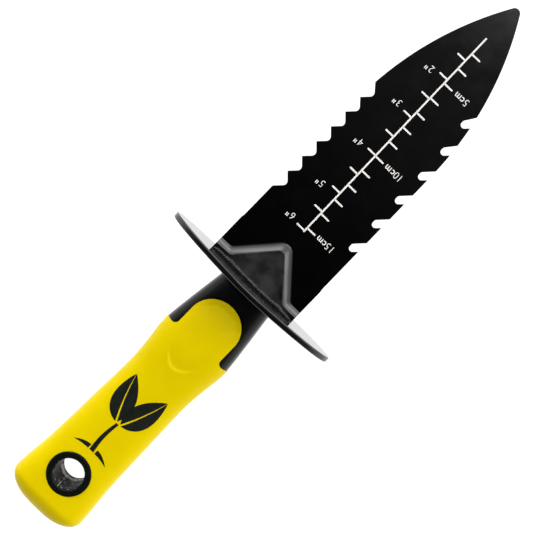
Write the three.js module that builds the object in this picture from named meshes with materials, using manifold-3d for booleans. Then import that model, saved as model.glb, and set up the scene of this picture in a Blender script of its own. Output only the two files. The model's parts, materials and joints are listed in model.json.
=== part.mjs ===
// Hand trowel: a toothed digging blade with a welded oval guard and a two-component handle.
// Millimetres. Inside the group `tool`, +X runs along the tool to the blade's tip, +Z stands out
// of the blade's printed face, and the blade's root meets the guard at x = 0. The group is then
// laid down as the tool lies on a bench, on the guard's rim and the back of the handle.
import * as THREE from 'three';
import { mergeVertices } from 'three/addons/utils/BufferGeometryUtils.js';
import Module from 'manifold-3d';

const wasm = await Module();
wasm.setup();

// ---- driving dimensions -------------------------------------------------------------------
const GAP = 0.3; // room between neighbouring pieces

// blade: one pressed sheet with its tang
const SHEET = 2.2; // thickness
const TIP_X = 193.2;
const ROOT_HALF = 27.5; // half-width beside the guard
const BODY_HALF = 27.2; // half-width past the small step in each edge
const EDGE_STEP_X = 23;
const NOSE_X = 102.5; // where each edge starts to curve in
const NOSE_RADIUS = 173.9;
const NOSE_HALF = 26.8; // half-width where the nose begins
const TIP_RADIUS = 1.8;

// pressed-up step next to the guard
const STEP_HEIGHT = 1.8;
const STEP_X = 5.2; // end of the full-width raised strip
const STEP_RAMP = 1.9; // width of the strip's sloping wall
const BOSS_SLOPE = THREE.MathUtils.degToRad(42); // the triangle's sides, from the tool's axis
const BOSS_APEX_X = 25.5; // where the sides of its flat top would meet
const BOSS_APEX_RADIUS = 3;
const BOSS_RAMP = 2.3; // width of the triangle's sloping wall
const BOSS_FOOT_RADIUS = 2.2;

// saw teeth on the +Y edge
const SAW_COUNT = 7;
const SAW_FIRST_X = 49.9;
const SAW_PITCH = 10.42;
const SAW_DEPTH = 4.35;
const SAW_ROUND = 2.5; // radius of each valley
const SAW_REACH = 5.6; // half-width of the cutter at the edge

// hooked gullets on the -Y edge
const HOOK_COUNT = 6;
const HOOK_FIRST_X = 49.8;
const HOOK_PITCH = 16.72;
const GULLET_RADIUS = 2;
const GULLET_RISE = 3; // from the hook's point up to the gullet's centre
const GULLET_FLAT = 0.85; // short flat at the top of the gullet

// tang
const TANG_END_X = -112;
const TANG_ROOT_HALF = 12;
const TANG_END_HALF = 9;
const KEY_HOLES_X = [-45, -92]; // filled by the handle's core
const KEY_HOLE_RADIUS = 4;

// oval guard
const GUARD_HALF_WIDTH = 53.6;
const GUARD_HALF_HEIGHT = 30.6;
const GUARD_THICKNESS = 3;
const GUARD_FLAT_HALF = 6; // flat middle, before the wings lean towards the blade
const GUARD_LEAN = 0.034; // rise of each wing per millimetre
const GUARD_SHIFT = -0.8; // sideways set of the guard on the blade

// weld beads between the blade's root and the guard
const WELD_SIZE = 2.6;
const WELD_HALF = 25.5;

// handle: half-width and half-thickness along its length
const HANDLE_FRONT_X = -GUARD_THICKNESS - GAP;
const HANDLE_END_X = -158.9;
const HANDLE_ROUND_X = -148; // where the butt starts to round off
const HANDLE_WIDTH = [[-3, 16.3], [-12, 17.5], [-24, 19.15], [-38, 20.8], [-46, 20.8], [-56, 19.6],
  [-70, 18.7], [-100, 19.55], [-125, 20.45], [-148, 22.3], [-160, 21]];
const HANDLE_DEPTH = [[-3, 13.4], [-21, 15], [-40, 16], [-70, 15], [-100, 15.4], [-131, 16.2], [-160, 16.4]];
const HANDLE_POWER = [[-3, 2.6], [-70, 2.7], [-110, 3.2], [-160, 3.6]]; // squareness of the cross-section
const BUTT_POWER = 2.12; // superellipse exponent of the rounded butt
const HANDLE_SLANT_FROM_X = -150; // the handle leans sideways from here to the guard
const HANDLE_SLANT = -0.0094;
const COVER_WALL = 3.2; // thickness of the soft cover over the core
const DISH_X = -34.8; // thumb dish on the tongue
const DISH_HALF_LENGTH = 21.6;
const DISH_HALF_WIDTH = 12.5;
const DISH_DEPTH = 0.9;

// outline of the cover's tongue, seen from above
const LEG_TIP_X = -39.4; // end of the collar's side legs
const LEG_CORNER = 3;
const TONGUE_HALF = 14.5;
const TONGUE_STRAIGHT_X = -27; // end of the tongue's straight sides
const TONGUE_FRONT_X = -13;

// hanging hole
const HOLE_X = -131.2;
const HOLE_Y = -0.4;
const HOLE_RADIUS = 8;
const EYELET_RADIUS = 11.6;
const EYELET_HALF = 16.5;
const EYELET_LIP = 1; // width of the bevel at the bore's mouth

// ---- solids -------------------------------------------------------------------------------
function solid(geometry) {
  const bare = geometry.index ? geometry.toNonIndexed() : geometry.clone();
  bare.deleteAttribute('normal');
  bare.deleteAttribute('uv');
  const merged = mergeVertices(bare, 1e-5);
  return new wasm.Manifold(new wasm.Mesh({
    numProp: 3,
    vertProperties: merged.attributes.position.array,
    triVerts: merged.index.array,
  }));
}

function piece(name, shape, colour, roughness, metalness) {
  const { vertProperties, triVerts } = shape.getMesh();
  const geometry = new THREE.BufferGeometry();
  geometry.setAttribute('position', new THREE.BufferAttribute(new Float32Array(vertProperties), 3));
  geometry.setIndex(new THREE.BufferAttribute(new Uint32Array(triVerts), 1));
  geometry.computeVertexNormals();
  const material = new THREE.MeshStandardMaterial({ color: colour, roughness, metalness });
  const mesh = new THREE.Mesh(geometry, material);
  mesh.name = name;
  return mesh;
}

// an outline in the XY plane, from z = low to z = high
function prism(shape, low, high) {
  const geometry = new THREE.ExtrudeGeometry(shape, { depth: high - low, bevelEnabled: false });
  return solid(geometry.translate(0, 0, low));
}

function outline(points) {
  return new THREE.Shape(points.map(([x, y]) => new THREE.Vector2(x, y)));
}

// points round an arc, from one angle to another in degrees
function arc(centreX, centreY, radius, from, to, steps) {
  return Array.from({ length: steps + 1 }, (_, step) => {
    const angle = THREE.MathUtils.degToRad(from + (to - from) * step / steps);
    return [centreX + radius * Math.cos(angle), centreY + radius * Math.sin(angle)];
  });
}

function cylinder(x, y, radius, halfLength, segments = 40) {
  const geometry = new THREE.CylinderGeometry(radius, radius, 2 * halfLength, segments);
  return solid(geometry.rotateX(Math.PI / 2).translate(x, y, 0));
}

// ---- blade --------------------------------------------------------------------------------
// half-width of the plain blade, before the teeth are cut
function bladeHalf(x) {
  if (x < EDGE_STEP_X) return ROOT_HALF;
  const straight = BODY_HALF + (NOSE_HALF - BODY_HALF) * (x - EDGE_STEP_X) / (NOSE_X - EDGE_STEP_X);
  if (x < NOSE_X) return straight;
  return NOSE_HALF - NOSE_RADIUS + Math.sqrt(NOSE_RADIUS ** 2 - (x - NOSE_X) ** 2);
}

// the guard's blade-side face: flat in the middle, with wings that lean towards the blade
function guardFace(y) {
  return GUARD_LEAN * Math.max(0, Math.abs(y - GUARD_SHIFT) - GUARD_FLAT_HALF);
}

function bladeOutline() {
  const noseSteps = 20;
  const noseEnd = TIP_X - TIP_RADIUS * 0.7;
  const rootEdge = [-ROOT_HALF, GUARD_SHIFT - GUARD_FLAT_HALF, GUARD_SHIFT + GUARD_FLAT_HALF, ROOT_HALF]
    .map((y) => [guardFace(y) + GAP, y]);
  const upper = [[EDGE_STEP_X - 1, ROOT_HALF], [EDGE_STEP_X + 1, bladeHalf(EDGE_STEP_X + 1)]];
  for (let step = 0; step <= noseSteps; step += 1) {
    const x = NOSE_X + (noseEnd - NOSE_X) * step / noseSteps;
    upper.push([x, bladeHalf(x)]);
  }
  const lower = upper.map(([x, y]) => [x, -y]).reverse();
  const tip = [[TIP_X - 0.4, TIP_RADIUS * 0.55], [TIP_X, 0], [TIP_X - 0.4, -TIP_RADIUS * 0.55]];
  return outline([...rootEdge, ...upper, ...tip, ...lower].reverse());
}

// V-shaped valley with a round bottom, open at the +Y edge
function sawValley(x) {
  const bottom = bladeHalf(x) - SAW_DEPTH;
  const mouth = bladeHalf(x) + 2;
  const reach = SAW_REACH + 2;
  const round = arc(x, bottom + SAW_ROUND, SAW_ROUND, 225, 315, 4);
  return outline([[x - reach, mouth], ...round, [x + reach, mouth]]);
}

// gullet that undercuts the hook's point at (x, y) and leaves at 45 degrees towards the tip
function hookGullet(x, y) {
  const centreX = x - 0.1;
  const centreY = y + GULLET_RISE;
  const back = arc(centreX, centreY, GULLET_RADIUS, 225, 90, 5);
  const front = arc(centreX + GULLET_FLAT, centreY, GULLET_RADIUS, 90, 46, 3);
  const fall = 9;
  const [frontX, frontY] = front[front.length - 1];
  const mouth = [frontX + fall / 0.96, frontY - fall];
  return outline([[x + 1.5, y - 1.5], ...back, ...front, mouth, [x + 1.5, mouth[1]]].reverse());
}

// plan of the raised part: the strip beside the guard and the triangle that grows out of it
function stepPlan(edgeX, apexX, apexRadius) {
  const far = ROOT_HALF + 8;
  const half = (apexX - edgeX) * Math.tan(BOSS_SLOPE);
  const turn = 90 - THREE.MathUtils.radToDeg(BOSS_SLOPE);
  const apex = arc(apexX - apexRadius / Math.sin(BOSS_SLOPE), 0, apexRadius, -turn, turn, 8);
  return [[-20, -far], [edgeX, -far], [edgeX, -half], ...apex, [edgeX, half], [edgeX, far], [-20, far]];
}

// the raised part as a solid with sloping walls, standing on the level given
function raisedStep(level) {
  const top = stepPlan(STEP_X, BOSS_APEX_X, BOSS_APEX_RADIUS);
  const foot = stepPlan(STEP_X + STEP_RAMP, BOSS_APEX_X + BOSS_RAMP / Math.sin(BOSS_SLOPE), BOSS_FOOT_RADIUS);
  const geometry = new THREE.ExtrudeGeometry(outline(top), { depth: STEP_HEIGHT, bevelEnabled: false });
  const position = geometry.attributes.position;
  for (let index = 0; index < position.count; index += 1) {
    if (position.getZ(index) > STEP_HEIGHT / 2) continue;
    const [x, y] = foot[top.findIndex((point) => Math.hypot(point[0] - position.getX(index),
      point[1] - position.getY(index)) < 1e-3)];
    position.setXY(index, x, y);
  }
  return solid(geometry.translate(0, 0, level));
}

function tangOutline(extra) {
  const start = STEP_X;
  return outline([[TANG_END_X - extra, -TANG_END_HALF - extra], [start, -TANG_ROOT_HALF - extra],
    [start, TANG_ROOT_HALF + extra], [TANG_END_X - extra, TANG_END_HALF + extra]]);
}

function makeBlade() {
  const low = STEP_HEIGHT - SHEET;
  const plan = prism(bladeOutline(), -10, 10);
  let blade = prism(bladeOutline(), -SHEET, 0)
    .add(raisedStep(0).intersect(plan))
    .subtract(raisedStep(-SHEET))
    .intersect(plan);
  let tang = prism(tangOutline(0), low, STEP_HEIGHT);
  for (const x of KEY_HOLES_X) tang = tang.subtract(cylinder(x, 0, KEY_HOLE_RADIUS, 10, 24));
  blade = blade.add(tang);
  for (let index = 0; index < SAW_COUNT; index += 1) {
    blade = blade.subtract(prism(sawValley(SAW_FIRST_X + index * SAW_PITCH), -10, 10));
  }
  for (let index = 0; index < HOOK_COUNT; index += 1) {
    const x = HOOK_FIRST_X + index * HOOK_PITCH;
    blade = blade.subtract(prism(hookGullet(x, 0.15 - bladeHalf(x)), -10, 10));
  }
  return piece('blade', blade, 0x141414, 0.3, 0.6);
}

// ---- guard and welds ----------------------------------------------------------------------
function makeGuard() {
  const half = GUARD_HALF_WIDTH + 5;
  const lean = GUARD_LEAN * (half - GUARD_FLAT_HALF);
  const face = [[lean, -half], [0, -GUARD_FLAT_HALF], [0, GUARD_FLAT_HALF], [lean, half]];
  const strip = outline([...face, ...face.map(([x, y]) => [x - GUARD_THICKNESS, y]).reverse()]);
  const oval = new THREE.Shape().absellipse(0, 0, GUARD_HALF_HEIGHT, GUARD_HALF_WIDTH, 0, Math.PI * 2);
  const block = new THREE.ExtrudeGeometry(oval, { depth: 40, bevelEnabled: false, curveSegments: 36 });
  const edge = solid(block.rotateY(Math.PI / 2).translate(-20, 0, 0));
  const slotHeight = SHEET + 2 * GAP;
  const slot = new THREE.BoxGeometry(40, 2 * (TANG_ROOT_HALF + GAP), slotHeight);
  slot.translate(0, -GUARD_SHIFT, STEP_HEIGHT - SHEET / 2);
  const plate = prism(strip, -40, 40).intersect(edge).subtract(solid(slot));
  const guard = piece('hand_guard', plate, 0x1b1b1b, 0.35, 0.6);
  guard.position.y = GUARD_SHIFT;
  return guard;
}

// a fillet bead lying in the corner between the guard and one face of the blade
function makeWeld(name, side) {
  const round = arc(0, 0, WELD_SIZE, 90, 0, 6);
  const bead = new THREE.ExtrudeGeometry(outline([[0, 0], ...round].reverse()), {
    depth: 2 * WELD_HALF, bevelEnabled: false,
  });
  bead.rotateX(Math.PI / 2).translate(0, WELD_HALF, 0);
  const weld = solid(side > 0 ? bead : bead.rotateX(Math.PI));
  const mesh = piece(name, weld, 0x2a2a2a, 0.5, 0.5);
  const surface = side > 0 ? STEP_HEIGHT : STEP_HEIGHT - SHEET;
  // clear of the guard's wings, which lean over the ends of the bead
  mesh.position.set(GAP + GUARD_LEAN * (WELD_HALF - GUARD_FLAT_HALF - GUARD_SHIFT), 0, surface + side * GAP);
  return mesh;
}

// ---- handle -------------------------------------------------------------------------------
function along(table, x) {
  const curve = new THREE.SplineCurve(table.map(([at, size]) => new THREE.Vector2(at, size)));
  let low = 0;
  let high = 1;
  for (let step = 0; step < 24; step += 1) {
    const middle = (low + high) / 2;
    if (curve.getPoint(middle).x > x) low = middle; else high = middle;
  }
  return curve.getPoint(low).y;
}

const handleCentre = (x) => HANDLE_SLANT * (x - HANDLE_SLANT_FROM_X);

function thumbDish(x, y) {
  const reach = Math.hypot((x - DISH_X) / DISH_HALF_LENGTH, (y - handleCentre(x)) / DISH_HALF_WIDTH);
  return reach < 1 ? DISH_DEPTH * (1 - reach ** 2) ** 2 : 0;
}

// the handle's outer skin, or the same shape drawn in by `inset` all round
function handleBody(inset, stations, segments) {
  const geometry = new THREE.CylinderGeometry(1, 1, 1, segments, stations);
  geometry.rotateZ(Math.PI / 2); // now from x = -0.5 to 0.5
  const position = geometry.attributes.position;
  const straight = 0.72; // share of the stations on the straight part
  const end = HANDLE_END_X + inset;
  for (let index = 0; index < position.count; index += 1) {
    const share = 0.5 - position.getX(index);
    const rounding = Math.sin(Math.max(0, share - straight) / (1 - straight) * Math.PI / 2);
    const x = share < straight
      ? HANDLE_FRONT_X + (HANDLE_ROUND_X - HANDLE_FRONT_X) * share / straight
      : HANDLE_ROUND_X + (end - HANDLE_ROUND_X) * rounding;
    const shrink = Math.max(0.02, (1 - rounding ** BUTT_POWER)) ** (1 / BUTT_POWER);
    const angle = Math.atan2(position.getZ(index), position.getY(index));
    const reach = Math.hypot(position.getY(index), position.getZ(index));
    const power = 2 / along(HANDLE_POWER, x);
    const across = Math.sign(Math.cos(angle)) * Math.abs(Math.cos(angle)) ** power;
    const upward = Math.sign(Math.sin(angle)) * Math.abs(Math.sin(angle)) ** power;
    const y = handleCentre(x) + reach * shrink * across * (along(HANDLE_WIDTH, x) - inset);
    let z = reach * shrink * upward * (along(HANDLE_DEPTH, x) - inset);
    if (inset === 0 && z > 0) z -= thumbDish(x, y);
    position.setXYZ(index, x, y, z);
  }
  return solid(geometry);
}

// the cover seen from above: all of the handle behind the collar's legs, and the tongue between them
function coverPlan(extra) {
  const half = TONGUE_HALF + extra;
  const leg = LEG_TIP_X + extra;
  const corner = LEG_CORNER + extra;
  const front = TONGUE_FRONT_X + extra;
  const mid = handleCentre(LEG_TIP_X);
  const wide = 40;
  const reach = front - TONGUE_STRAIGHT_X;
  const nose = new THREE.EllipseCurve(TONGUE_STRAIGHT_X, mid, reach, half, -Math.PI / 2, Math.PI / 2);
  const lowerCorner = arc(leg + corner, mid - half - corner, corner, 180, 90, 4);
  const upperCorner = arc(leg + corner, mid + half + corner, corner, 270, 180, 4);
  return outline([[-200, -wide], [leg, -wide], ...lowerCorner,
    ...nose.getPoints(22).map((point) => [point.x, point.y]), ...upperCorner, [leg, wide], [-200, wide]]);
}

function makeHandle() {
  const body = handleBody(0, 40, 44);
  const bore = cylinder(HOLE_X, HOLE_Y, EYELET_RADIUS + GAP, 40);
  const tangHalf = SHEET / 2 + GAP;
  const tangMiddle = STEP_HEIGHT - SHEET / 2;
  let tangSpace = prism(tangOutline(GAP), tangMiddle - tangHalf, tangMiddle + tangHalf);
  for (const x of KEY_HOLES_X) {
    tangSpace = tangSpace.subtract(cylinder(x, 0, KEY_HOLE_RADIUS - GAP, 10, 24));
  }
  const hollow = handleBody(COVER_WALL, 22, 32);
  const inner = handleBody(COVER_WALL + GAP, 22, 32);
  const cover = body.intersect(prism(coverPlan(0), -40, 40)).subtract(hollow).subtract(bore);
  const collar = body.subtract(prism(coverPlan(GAP), -40, 40));
  const core = collar.add(inner).subtract(tangSpace).subtract(bore);
  return [
    piece('handle_core', core, 0x141516, 0.45, 0),
    piece('grip_cover', cover, 0xe3d400, 0.5, 0),
  ];
}

// tubular bush that lines the hanging hole
function makeEyelet() {
  const profile = [
    [HOLE_RADIUS, -EYELET_HALF + EYELET_LIP], [HOLE_RADIUS + EYELET_LIP, -EYELET_HALF],
    [EYELET_RADIUS, -EYELET_HALF], [EYELET_RADIUS, EYELET_HALF],
    [HOLE_RADIUS + EYELET_LIP, EYELET_HALF], [HOLE_RADIUS, EYELET_HALF - EYELET_LIP],
    [HOLE_RADIUS, -EYELET_HALF + EYELET_LIP],
  ];
  const lathe = new THREE.LatheGeometry(profile.map(([r, height]) => new THREE.Vector2(r, height)), 48);
  const mesh = piece('hang_hole_eyelet', solid(lathe.rotateX(Math.PI / 2)), 0x202122, 0.5, 0);
  mesh.position.set(HOLE_X, HOLE_Y, 0);
  return mesh;
}

// ---- the tool, laid down --------------------------------------------------------------------
const tool = new THREE.Group();
tool.add(makeBlade(), makeGuard(), makeWeld('weld_bead_top', 1), makeWeld('weld_bead_underside', -1));
tool.add(...makeHandle(), makeEyelet());

// it lies on the guard's rear rim and on the back of the handle, with the tip a little raised
const restX = HANDLE_ROUND_X;
const restDrop = GUARD_HALF_HEIGHT - along(HANDLE_DEPTH, restX);
tool.rotation.y = -Math.atan2(restDrop, -GUARD_THICKNESS - restX);

const group = new THREE.Group();
group.add(tool);
group.updateMatrixWorld(true);
const box = new THREE.Box3().setFromObject(group, true);
const centre = box.getCenter(new THREE.Vector3());
tool.position.set(-centre.x, -centre.y, -box.min.z);

export default group;
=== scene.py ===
import json
import math

import bmesh
import bpy
import numpy as np
from mathutils import Matrix, Vector, noise


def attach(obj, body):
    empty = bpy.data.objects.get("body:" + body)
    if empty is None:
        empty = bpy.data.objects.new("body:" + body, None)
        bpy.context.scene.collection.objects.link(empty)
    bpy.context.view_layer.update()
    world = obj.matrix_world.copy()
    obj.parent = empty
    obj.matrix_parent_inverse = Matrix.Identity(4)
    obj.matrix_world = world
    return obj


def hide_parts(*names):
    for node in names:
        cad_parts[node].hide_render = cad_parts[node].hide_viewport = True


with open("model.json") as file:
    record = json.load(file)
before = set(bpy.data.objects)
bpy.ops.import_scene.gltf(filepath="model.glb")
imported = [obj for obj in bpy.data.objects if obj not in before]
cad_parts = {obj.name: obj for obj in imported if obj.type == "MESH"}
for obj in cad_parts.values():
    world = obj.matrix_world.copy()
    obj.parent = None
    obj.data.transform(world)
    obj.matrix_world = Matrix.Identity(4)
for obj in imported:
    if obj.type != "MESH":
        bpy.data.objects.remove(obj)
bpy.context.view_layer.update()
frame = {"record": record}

BODY = "root"

# ---- dimensions, in millimetres ----
FACE_MOUNT_X = 100.0  # the blade_face mount lies this far in front of the guard

SHEET = 2.2
RIM_ROUND = 0.16  # rounding of the sheet's edges
COAT = 0.28  # the coating makes the sheet's outline this much larger
EDGE_PITCH = 1.5  # distance between points on its plain stretches
ROOT_HALF = 27.5
BODY_HALF = 27.2
EDGE_STEP_X = 23.0
NOSE_X = 102.5
NOSE_RADIUS = 173.9
NOSE_HALF = 26.8
TIP_X = 193.2
TIP_ROUND = 2.55
TIP_TURN = 59  # degrees that the tip's round turns through on each side
EDGE_STEP_HALF = 1.0  # half the length of the ramp from the root's width to the body's

STEP_HEIGHT = 1.8  # of the strip along the guard and of the triangle in front of it
STEP_X = 5.2
STEP_RAMP = 2.5  # from the top of the ramp to the end of its hollow foot
BOSS_SLOPE = math.radians(42)
BOSS_APEX_X = 25.5
BOSS_APEX_RADIUS = 3.0
BOSS_RAMP = 4.2  # the same, for the triangle's ramps
RAMP_HOLLOW = 2.0  # the ramps fall with this power of the way left; 1 is a straight slope
APEX_HOLLOW = 1.1  # the same, in the middle of the triangle's apex
STEP_SOFTNESS = 0.05  # rounding of the ramps' upper edge, as a share of their width
STEP_SIDE_SOFTNESS = 0.0007  # added to it, times y squared
STEP_FILLET = 0.4  # blending of the triangle into the strip, the same way
STEP_CROWN = 0.00015  # the raised part falls away to the sides by this much times y squared
STEP_GRID = 0.35  # pitch of the mesh that is shaped into the raised part
STEP_GRID_END = 31.0
STEP_GRID_HALF = 24.0

SAW_COUNT = 7
SAW_FIRST_X = 49.9
SAW_PITCH = 10.42
SAW_DEPTH = 4.35
SAW_ROUND = 2.5
SAW_SLOPE = 0.963  # of the teeth's flanks
HOOK_COUNT = 6
HOOK_FIRST_X = 49.8
HOOK_PITCH = 16.72
GULLET_RADIUS = 2.0
GULLET_OFFSET = -0.1  # from the hook's place to the middle of its first round
GULLET_RISE = 3.15
GULLET_FLAT = 0.85
GULLET_SLOPE = 0.96
GULLET_BACK_ANGLES = (225, 90)
GULLET_FRONT_ANGLES = (90, 46)

TANG_END_X = -112.0
TANG_ROOT_HALF = 11.9
TANG_END_HALF = 9.0

GUARD_HALF_WIDTH = 53.6
GUARD_HALF_HEIGHT = 30.6
GUARD_THICKNESS = 3.0
GUARD_FLAT_HALF = 6.0
GUARD_LEAN = 0.034  # slope of the two wings beyond the flat middle
GUARD_BEND = 2.0  # length over which the middle turns into a wing
GUARD_SHIFT = -0.8
GUARD_RING_SHARES = (0.04, 0.2, 0.4, 0.6, 0.8, 0.93)
GUARD_COUNT = 288  # points round the guard
SLOT_ROOM = 0.2  # the slot in the guard clears the tang by this much
GUARD_RIM_ROUND = 0.7
GUARD_REAR_CHAMFER = 0.35
CONTACT = 0.05  # room left between pieces that touch

WELD_WIDTH = 2.5
WELD_HEIGHT = 1.1
WELD_POWER = 3.0  # 2 is an elliptical section, more is a squarer one
WELD_BURIED = 0.1  # how far the bead goes into the guard and the blade
WELD_END_THINNING = 0.6  # share of its size that the bead loses at each end
WELD_SWELL = (0.22, 5.0)  # slow swelling of the bead: share of its size, and length
WELD_GRAIN = (0.1, 1.0)  # the same, quicker
WELD_LUMP = (0.42, 1.3)  # height and length of its lumps
WELD_WAVE = 0.9  # how far each ripple bows along the bead
WELD_DRIFT = 4.0  # length over which the ripples drift
WELD_HALF = 26.8
WELD_RIPPLE_PITCH = 1.7
WELD_RIPPLE = 0.1
WELD_PITCH = 0.2  # distance between sections
WELD_STEPS = 14  # points on the curved side of a section

HANDLE_FRONT_X = -3.1
HANDLE_END_X = -158.9
HANDLE_ROUND_X = -148.0
HANDLE_WIDTH = ((-3, 16.3), (-12, 17.5), (-24, 19.15), (-38, 20.8), (-46, 20.8), (-56, 19.6),
                (-70, 18.7), (-100, 19.55), (-125, 20.45), (-148, 22.3), (-160, 21.0))
HANDLE_DEPTH = ((-3, 13.4), (-21, 15), (-40, 16), (-70, 15), (-100, 15.4), (-131, 16.2),
                (-160, 16.35))
HANDLE_POWER = ((-3, 2.6), (-70, 2.7), (-110, 3.2), (-160, 3.6))
BUTT_POWER = 2.12
BUTT_STEPS = 22
BUTT_LAST_SHARE = 0.9995  # where the butt's round is closed by a small flat face
SKIN_PITCH, SKIN_COUNT = 0.6, 200  # distance between sections and points on each, outside
ROOM_PITCH, ROOM_COUNT = 3.0, 72  # the same inside the cover
ROOM_START = 4.0  # the core's hidden body starts this far behind the legs' tips
HANDLE_SLANT_FROM_X = -150.0
HANDLE_SLANT = -0.0094
DISH_X = -34.8
DISH_HALF_LENGTH = 21.6
DISH_HALF_WIDTH = 12.5
DISH_WIDENING = 1.5  # added to the half width at the front end, taken off at the rear
DISH_POWER = 2.5  # its outline, from 2 (an ellipse) at the rear to 3 at the front
DISH_DEPTH = 1.0
DISH_FRONT = (1.45, 3.0)  # depth and width of the wall at the front end
DISH_REAR = (0.5, 1.7)  # the same at the rear end
DISH_CRISP_SIDE = (1.3, 4)  # factor and power by which the end walls fade to the sides
DISH_CRISP_ALONG = (1.2, 1.5)  # the same towards the hollow's middle
DISH_FADE = 8.0  # the hollow fades out over this height above the handle's middle
COVER_WALL = 3.2
COVER_ROOM = 0.2  # between the cover's inside and the core's hidden body
COLLAR_INSET = 0.2  # the black collar lies this far below the yellow cover

LEG_TIP_X = -39.4
LEG_CORNER = 3.0
TONGUE_HALF = 14.5
TONGUE_STRAIGHT_X = -27.0
TONGUE_FRONT_X = -13.0
PLAN_HALF = 40  # half width and half height of the prisms that cut the handle

HOLE_X = -131.2
HOLE_Y = -0.4
HOLE_RADIUS = 8.0
EYELET_RADIUS = 11.6
EYELET_HALF = 16.5
EYELET_LIP = 1.1  # radius at the bore's mouth
EYELET_RIM = 0.5  # chamfer of the ring's outer edge, in two steps
EYELET_RIM_STEP = 0.15
EYELET_COUNT = 160
BORE_ROOM = 0.02  # round the eyelet, in the cover and the core
BORE_LEDGE = -7.5  # top of the ledge below which the bore is a little narrower
BORE_LEDGE_HEIGHT = 4.0
BORE_NARROW, BORE_WIDE = -0.05, 0.15  # added to the hole's radius below the ledge and above it
BORE_SEAM = 0.14  # height of the moulding seam along the bore
BORE_LIGHTENING = 0.5  # added on the ledge, where it paints a lit band, and on the seam, which it draws lighter


# ---- the tool's frame ----
def tool_frame():
    """Carries tool millimetres into the CAD frame, from the mount on the printed face."""
    mount = next(m for m in frame["record"]["mounts"] if m["name"] == "blade_face")
    out = Vector(mount["axis"]).normalized()
    side = Vector((0, 1, 0))
    along = side.cross(out)
    axes = Matrix((along, side, out)).transposed().to_4x4()
    origin = Vector(mount["pos_m"]) - along * (FACE_MOUNT_X / 1000)
    return Matrix.Translation(origin) @ axes @ Matrix.Scale(0.001, 4)


TOOL = tool_frame()


# ---- shape helpers ----
def arc(x, y, radius, start, end, steps):
    """Points of a circular arc, with its angles in degrees."""
    angles = [math.radians(start + (end - start) * step / steps) for step in range(steps + 1)]
    return [(x + radius * math.cos(angle), y + radius * math.sin(angle)) for angle in angles]


def steps_between(start, end, size):
    """Evenly spaced numbers between start and end, without the two ends."""
    count = max(1, round(abs(end - start) / size))
    return [start + (end - start) * step / count for step in range(1, count)]


def inset(points, distance):
    """A closed counter-clockwise outline moved inwards, corner by corner."""
    here = np.array(points)
    ahead = np.roll(here, -1, axis=0) - here
    ahead /= np.linalg.norm(ahead, axis=1)[:, None]
    after = np.stack((-ahead[:, 1], ahead[:, 0]), axis=1)
    before = np.roll(after, 1, axis=0)
    spread = np.maximum(0.35, 1 + (before * after).sum(axis=1))
    return here + distance * (before + after) / spread[:, None]


def spline(table, x):
    """The value at x of a smooth curve through the table's points."""
    low, high = 0.0, len(table) - 1.0
    for _ in range(30):
        middle = (low + high) / 2
        if (spline_point(table, middle)[0] - x) * (table[-1][0] - table[0][0]) < 0:
            low = middle
        else:
            high = middle
    return spline_point(table, (low + high) / 2)[1]


def spline_point(table, place):
    last = len(table) - 1
    first = min(int(place), last - 1)
    share = place - first
    before, start, end, after = (table[max(0, min(last, first + step))] for step in (-1, 0, 1, 2))
    point = []
    for axis in (0, 1):
        leave = (end[axis] - before[axis]) / 2
        arrive = (after[axis] - start[axis]) / 2
        bend = 2 * (start[axis] - end[axis]) + leave + arrive
        pull = 3 * (end[axis] - start[axis]) - 2 * leave - arrive
        point.append(((bend * share + pull) * share + leave) * share + start[axis])
    return point


def rings_mesh(name, rings, closed_ends=True):
    """A skin over rings of equally many points, each ring closed on itself."""
    count = len(rings[0])
    points = [tuple(point) for ring in rings for point in ring]
    faces = []
    for row in range(len(rings) - 1):
        for step in range(count):
            after = (step + 1) % count
            faces.append((row * count + step, row * count + after,
                          (row + 1) * count + after, (row + 1) * count + step))
    if closed_ends:
        faces.append(tuple(reversed(range(count))))
        faces.append(tuple(range((len(rings) - 1) * count, len(rings) * count)))
    mesh = bpy.data.meshes.new(name)
    mesh.from_pydata(points, [], faces)
    outward(mesh)
    return mesh


def outward(mesh):
    """Turns every face of a closed mesh outwards."""
    work = bmesh.new()
    work.from_mesh(mesh)
    bmesh.ops.recalc_face_normals(work, faces=work.faces)
    if work.calc_volume(signed=True) < 0:
        bmesh.ops.reverse_faces(work, faces=work.faces)
    work.to_mesh(mesh)
    work.free()


def prism(name, outline, low, high):
    return rings_mesh(name, [[(x, y, level) for x, y in outline] for level in (low, high)])


def cylinder(name, x, y, radius, half_height, steps=96):
    outline = arc(x, y, radius, 0, 360 - 360 / steps, steps - 1)
    return prism(name, outline, -half_height, half_height)


def combine(first_mesh, second_mesh, operation):
    """The union, difference or intersection of two closed meshes."""
    first = bpy.data.objects.new("first", first_mesh)
    second = bpy.data.objects.new("second", second_mesh)
    for item in (first, second):
        bpy.context.scene.collection.objects.link(item)
    cut = first.modifiers.new("cut", "BOOLEAN")
    cut.operation = operation
    cut.solver = "EXACT"
    cut.object = second
    graph = bpy.context.evaluated_depsgraph_get()
    result = bpy.data.meshes.new_from_object(first.evaluated_get(graph))
    for item in (first, second):
        bpy.data.objects.remove(item)
    return result


def place(name, mesh, material, sharp=40):
    """Makes a piece of a mesh built in tool millimetres. Edges over `sharp` degrees stay crisp."""
    mesh.name = name
    mesh.transform(TOOL)
    mesh.shade_smooth()
    mesh.set_sharp_from_angle(angle=math.radians(sharp))
    mesh.materials.clear()
    mesh.materials.append(material)
    piece = bpy.data.objects.new(name, mesh)
    bpy.context.scene.collection.objects.link(piece)
    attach(piece, BODY)
    return piece


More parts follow.
